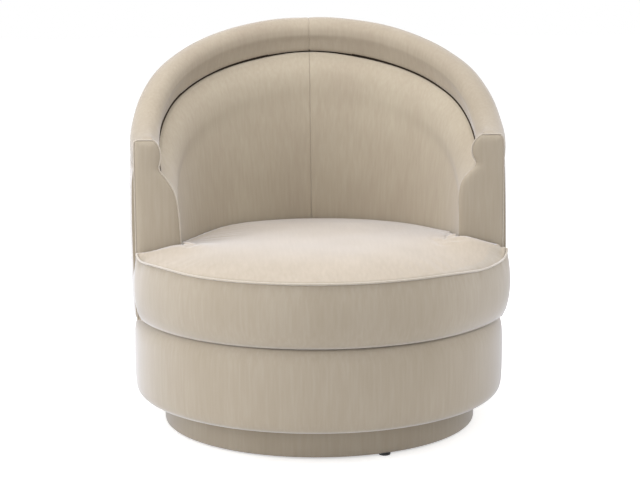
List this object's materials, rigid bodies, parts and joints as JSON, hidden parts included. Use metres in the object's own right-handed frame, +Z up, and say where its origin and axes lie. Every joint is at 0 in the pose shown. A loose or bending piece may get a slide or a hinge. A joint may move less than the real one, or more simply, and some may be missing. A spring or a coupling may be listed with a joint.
{
  "type": "swivel chair",
  "caption": "Upholstered tub armchair with a rolled rim, wrap-round back, thick round T-shaped seat cushion and round drum that swivels on a recessed plinth.",
  "frame": {"origin": "centre of the round base on the floor, on the swivel's axis", "axes": "+Z up along the swivel's axis, -Y towards the front of the seat, +X to the right as seen from the front"},
  "size_m": [0.7912, 0.7996, 0.842],
  "materials": {
    "velvet": "soft short pile",
    "glide": "matte",
    "zip": "matte",
    "foam": "open cells",
    "black_cloth": "matte",
    "webbing": "woven",
    "screw": "zinc plated",
    "cage": "matte",
    "plate": "zinc plated",
    "board": "bent board",
    "timber": "sawn"
  },
  "bodies": {
    "base": {"floor_glide_1": "glide", "floor_glide_2": "glide", "floor_glide_3": "glide", "floor_glide_4": "glide", "plinth_blocks": "timber", "plinth_bottom_ring": "timber", "plinth_cover": "velvet", "plinth_top_board": "timber", "plinth_underside_cloth": "black_cloth", "plinth_wall": "board", "swivel_ball_cage": "cage", "swivel_balls": "plate", "swivel_hub": "plate", "swivel_lower_plate": "plate", "swivel_lower_screws": "screw"},
    "upper": {"arm_facing_left": "velvet", "arm_facing_right": "velvet", "arm_piping_left": "velvet", "arm_piping_right": "velvet", "arm_post_left": "timber", "arm_post_right": "timber", "deck_border": "black_cloth", "deck_pad": "foam", "drum_base_board": "timber", "drum_cover": "velvet", "drum_dust_cover": "black_cloth", "drum_foam": "foam", "drum_top_ring": "timber", "drum_upright_1": "timber", "drum_upright_2": "timber", "drum_upright_3": "timber", "drum_upright_4": "timber", "drum_wall": "board", "inner_back_left": "velvet", "inner_back_right": "velvet", "outer_back_board": "board", "outer_back_cover": "velvet", "rim_roll_left": "velvet", "rim_roll_right": "velvet", "seat_webbing_crosswise": "webbing", "seat_webbing_lengthwise": "webbing", "swivel_upper_plate": "plate", "swivel_upper_screws": "screw", "tub_base_rib": "timber", "tub_post_1": "timber", "tub_post_2": "timber", "tub_post_3": "timber", "tub_post_4": "timber", "tub_post_5": "timber", "tub_top_rail": "timber"},
    "cushion": {"cushion_bottom_panel": "velvet", "cushion_crown": "velvet", "cushion_foam_core": "foam", "cushion_side_band": "velvet", "cushion_welt": "velvet", "cushion_zip": "zip"}
  },
  "joints": [
    {"name": "seat_swivel", "type": "hinge", "parent": "base", "child": "upper", "pos_m": [0, 0, 0], "axis": [0, 0, 1], "continuous": true},
    {"name": "cushion_lift", "type": "slide", "parent": "upper", "child": "cushion", "axis": [0, 0, 1], "range_m": [0, 0.62]}
  ]
}
